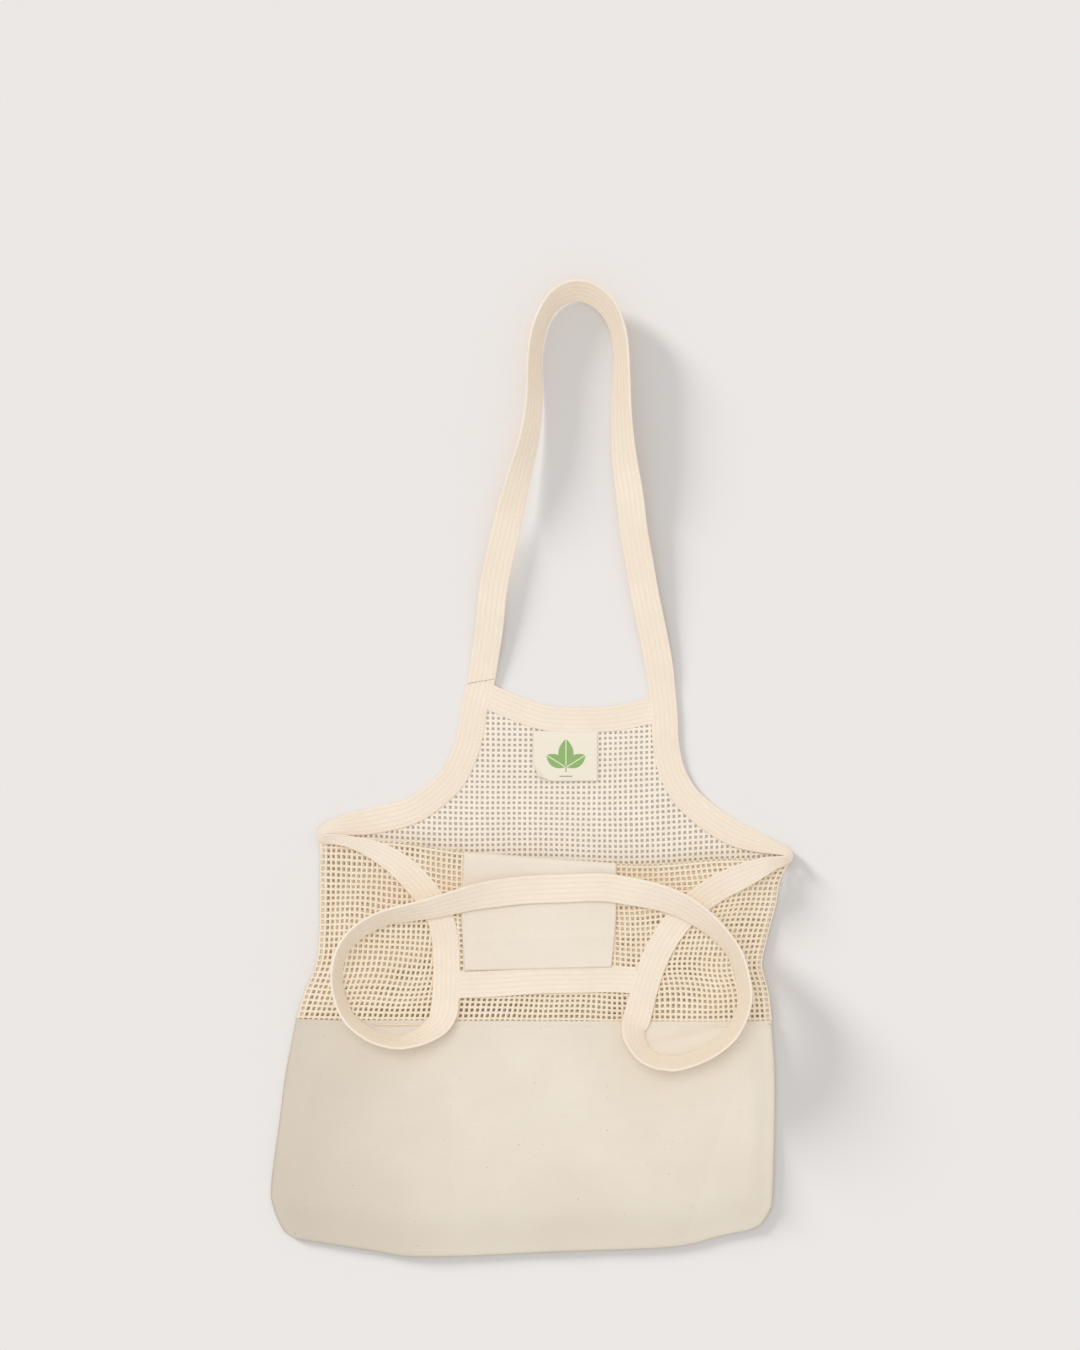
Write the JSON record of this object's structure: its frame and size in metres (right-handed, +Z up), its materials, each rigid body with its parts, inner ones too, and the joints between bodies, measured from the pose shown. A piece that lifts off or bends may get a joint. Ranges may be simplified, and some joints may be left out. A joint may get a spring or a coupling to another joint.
{
  "type": "mesh produce bag",
  "caption": "Cotton net produce bag with a plain cotton base and shoulder-length tape handles, lying flat with its front bib folded down.",
  "frame": {"origin": "middle of the bag's outline on the plane it lies on", "axes": "+Y from the bottom seam towards the top of the back handle, +Z up off the floor, +X to the right seen from above"},
  "size_m": [0.3416, 0.6434, 0.0308],
  "materials": {
    "plain_cotton": "matt unbleached plain weave",
    "cotton_net": "matt open square net",
    "cotton_tape": "matt stitched folded tape",
    "label_cloth": "matt woven label with a plain green print"
  },
  "bodies": {
    "bag": {"back_base_panel": "plain_cotton", "front_base_panel": "plain_cotton", "back_net_panel": "cotton_net", "front_net_panel": "cotton_net", "side_seam_left": "plain_cotton", "side_seam_right": "plain_cotton", "bottom_seam": "plain_cotton", "back_left_binding": "cotton_tape", "back_right_binding": "cotton_tape", "back_neckline_binding": "cotton_tape"},
    "bib": {"bib_net_panel": "cotton_net", "bib_pocket": "plain_cotton", "front_neckline_binding": "cotton_tape", "bib_left_binding": "cotton_tape", "bib_right_binding": "cotton_tape"},
    "front_handle": {"front_handle_strap": "cotton_tape"},
    "back_handle": {"back_handle_strap": "cotton_tape"},
    "label": {"back_label": "label_cloth"}
  },
  "joints": [
    {"name": "bib_fold", "type": "hinge", "parent": "bag", "child": "bib", "pos_m": [0.01632, -0.05087, 0.01], "axis": [-0.9991, 0.0433, 0], "range_deg": [0, 90]},
    {"name": "front_handle_swing", "type": "hinge", "parent": "bib", "child": "front_handle", "pos_m": [0.00042, -0.18562, 0.0209], "axis": [0.9974, -0.0724, 0], "range_deg": [0, 160]},
    {"name": "back_handle_swing", "type": "hinge", "parent": "bag", "child": "back_handle", "pos_m": [0.02702, 0.05453, 0.0009], "axis": [0.998, -0.0638, 0], "range_deg": [0, 90]},
    {"name": "label_flip", "type": "hinge", "parent": "bag", "child": "label", "pos_m": [0.02307, 0.02263, 0.0019], "axis": [-1, 0, 0], "range_deg": [0, 150]}
  ]
}
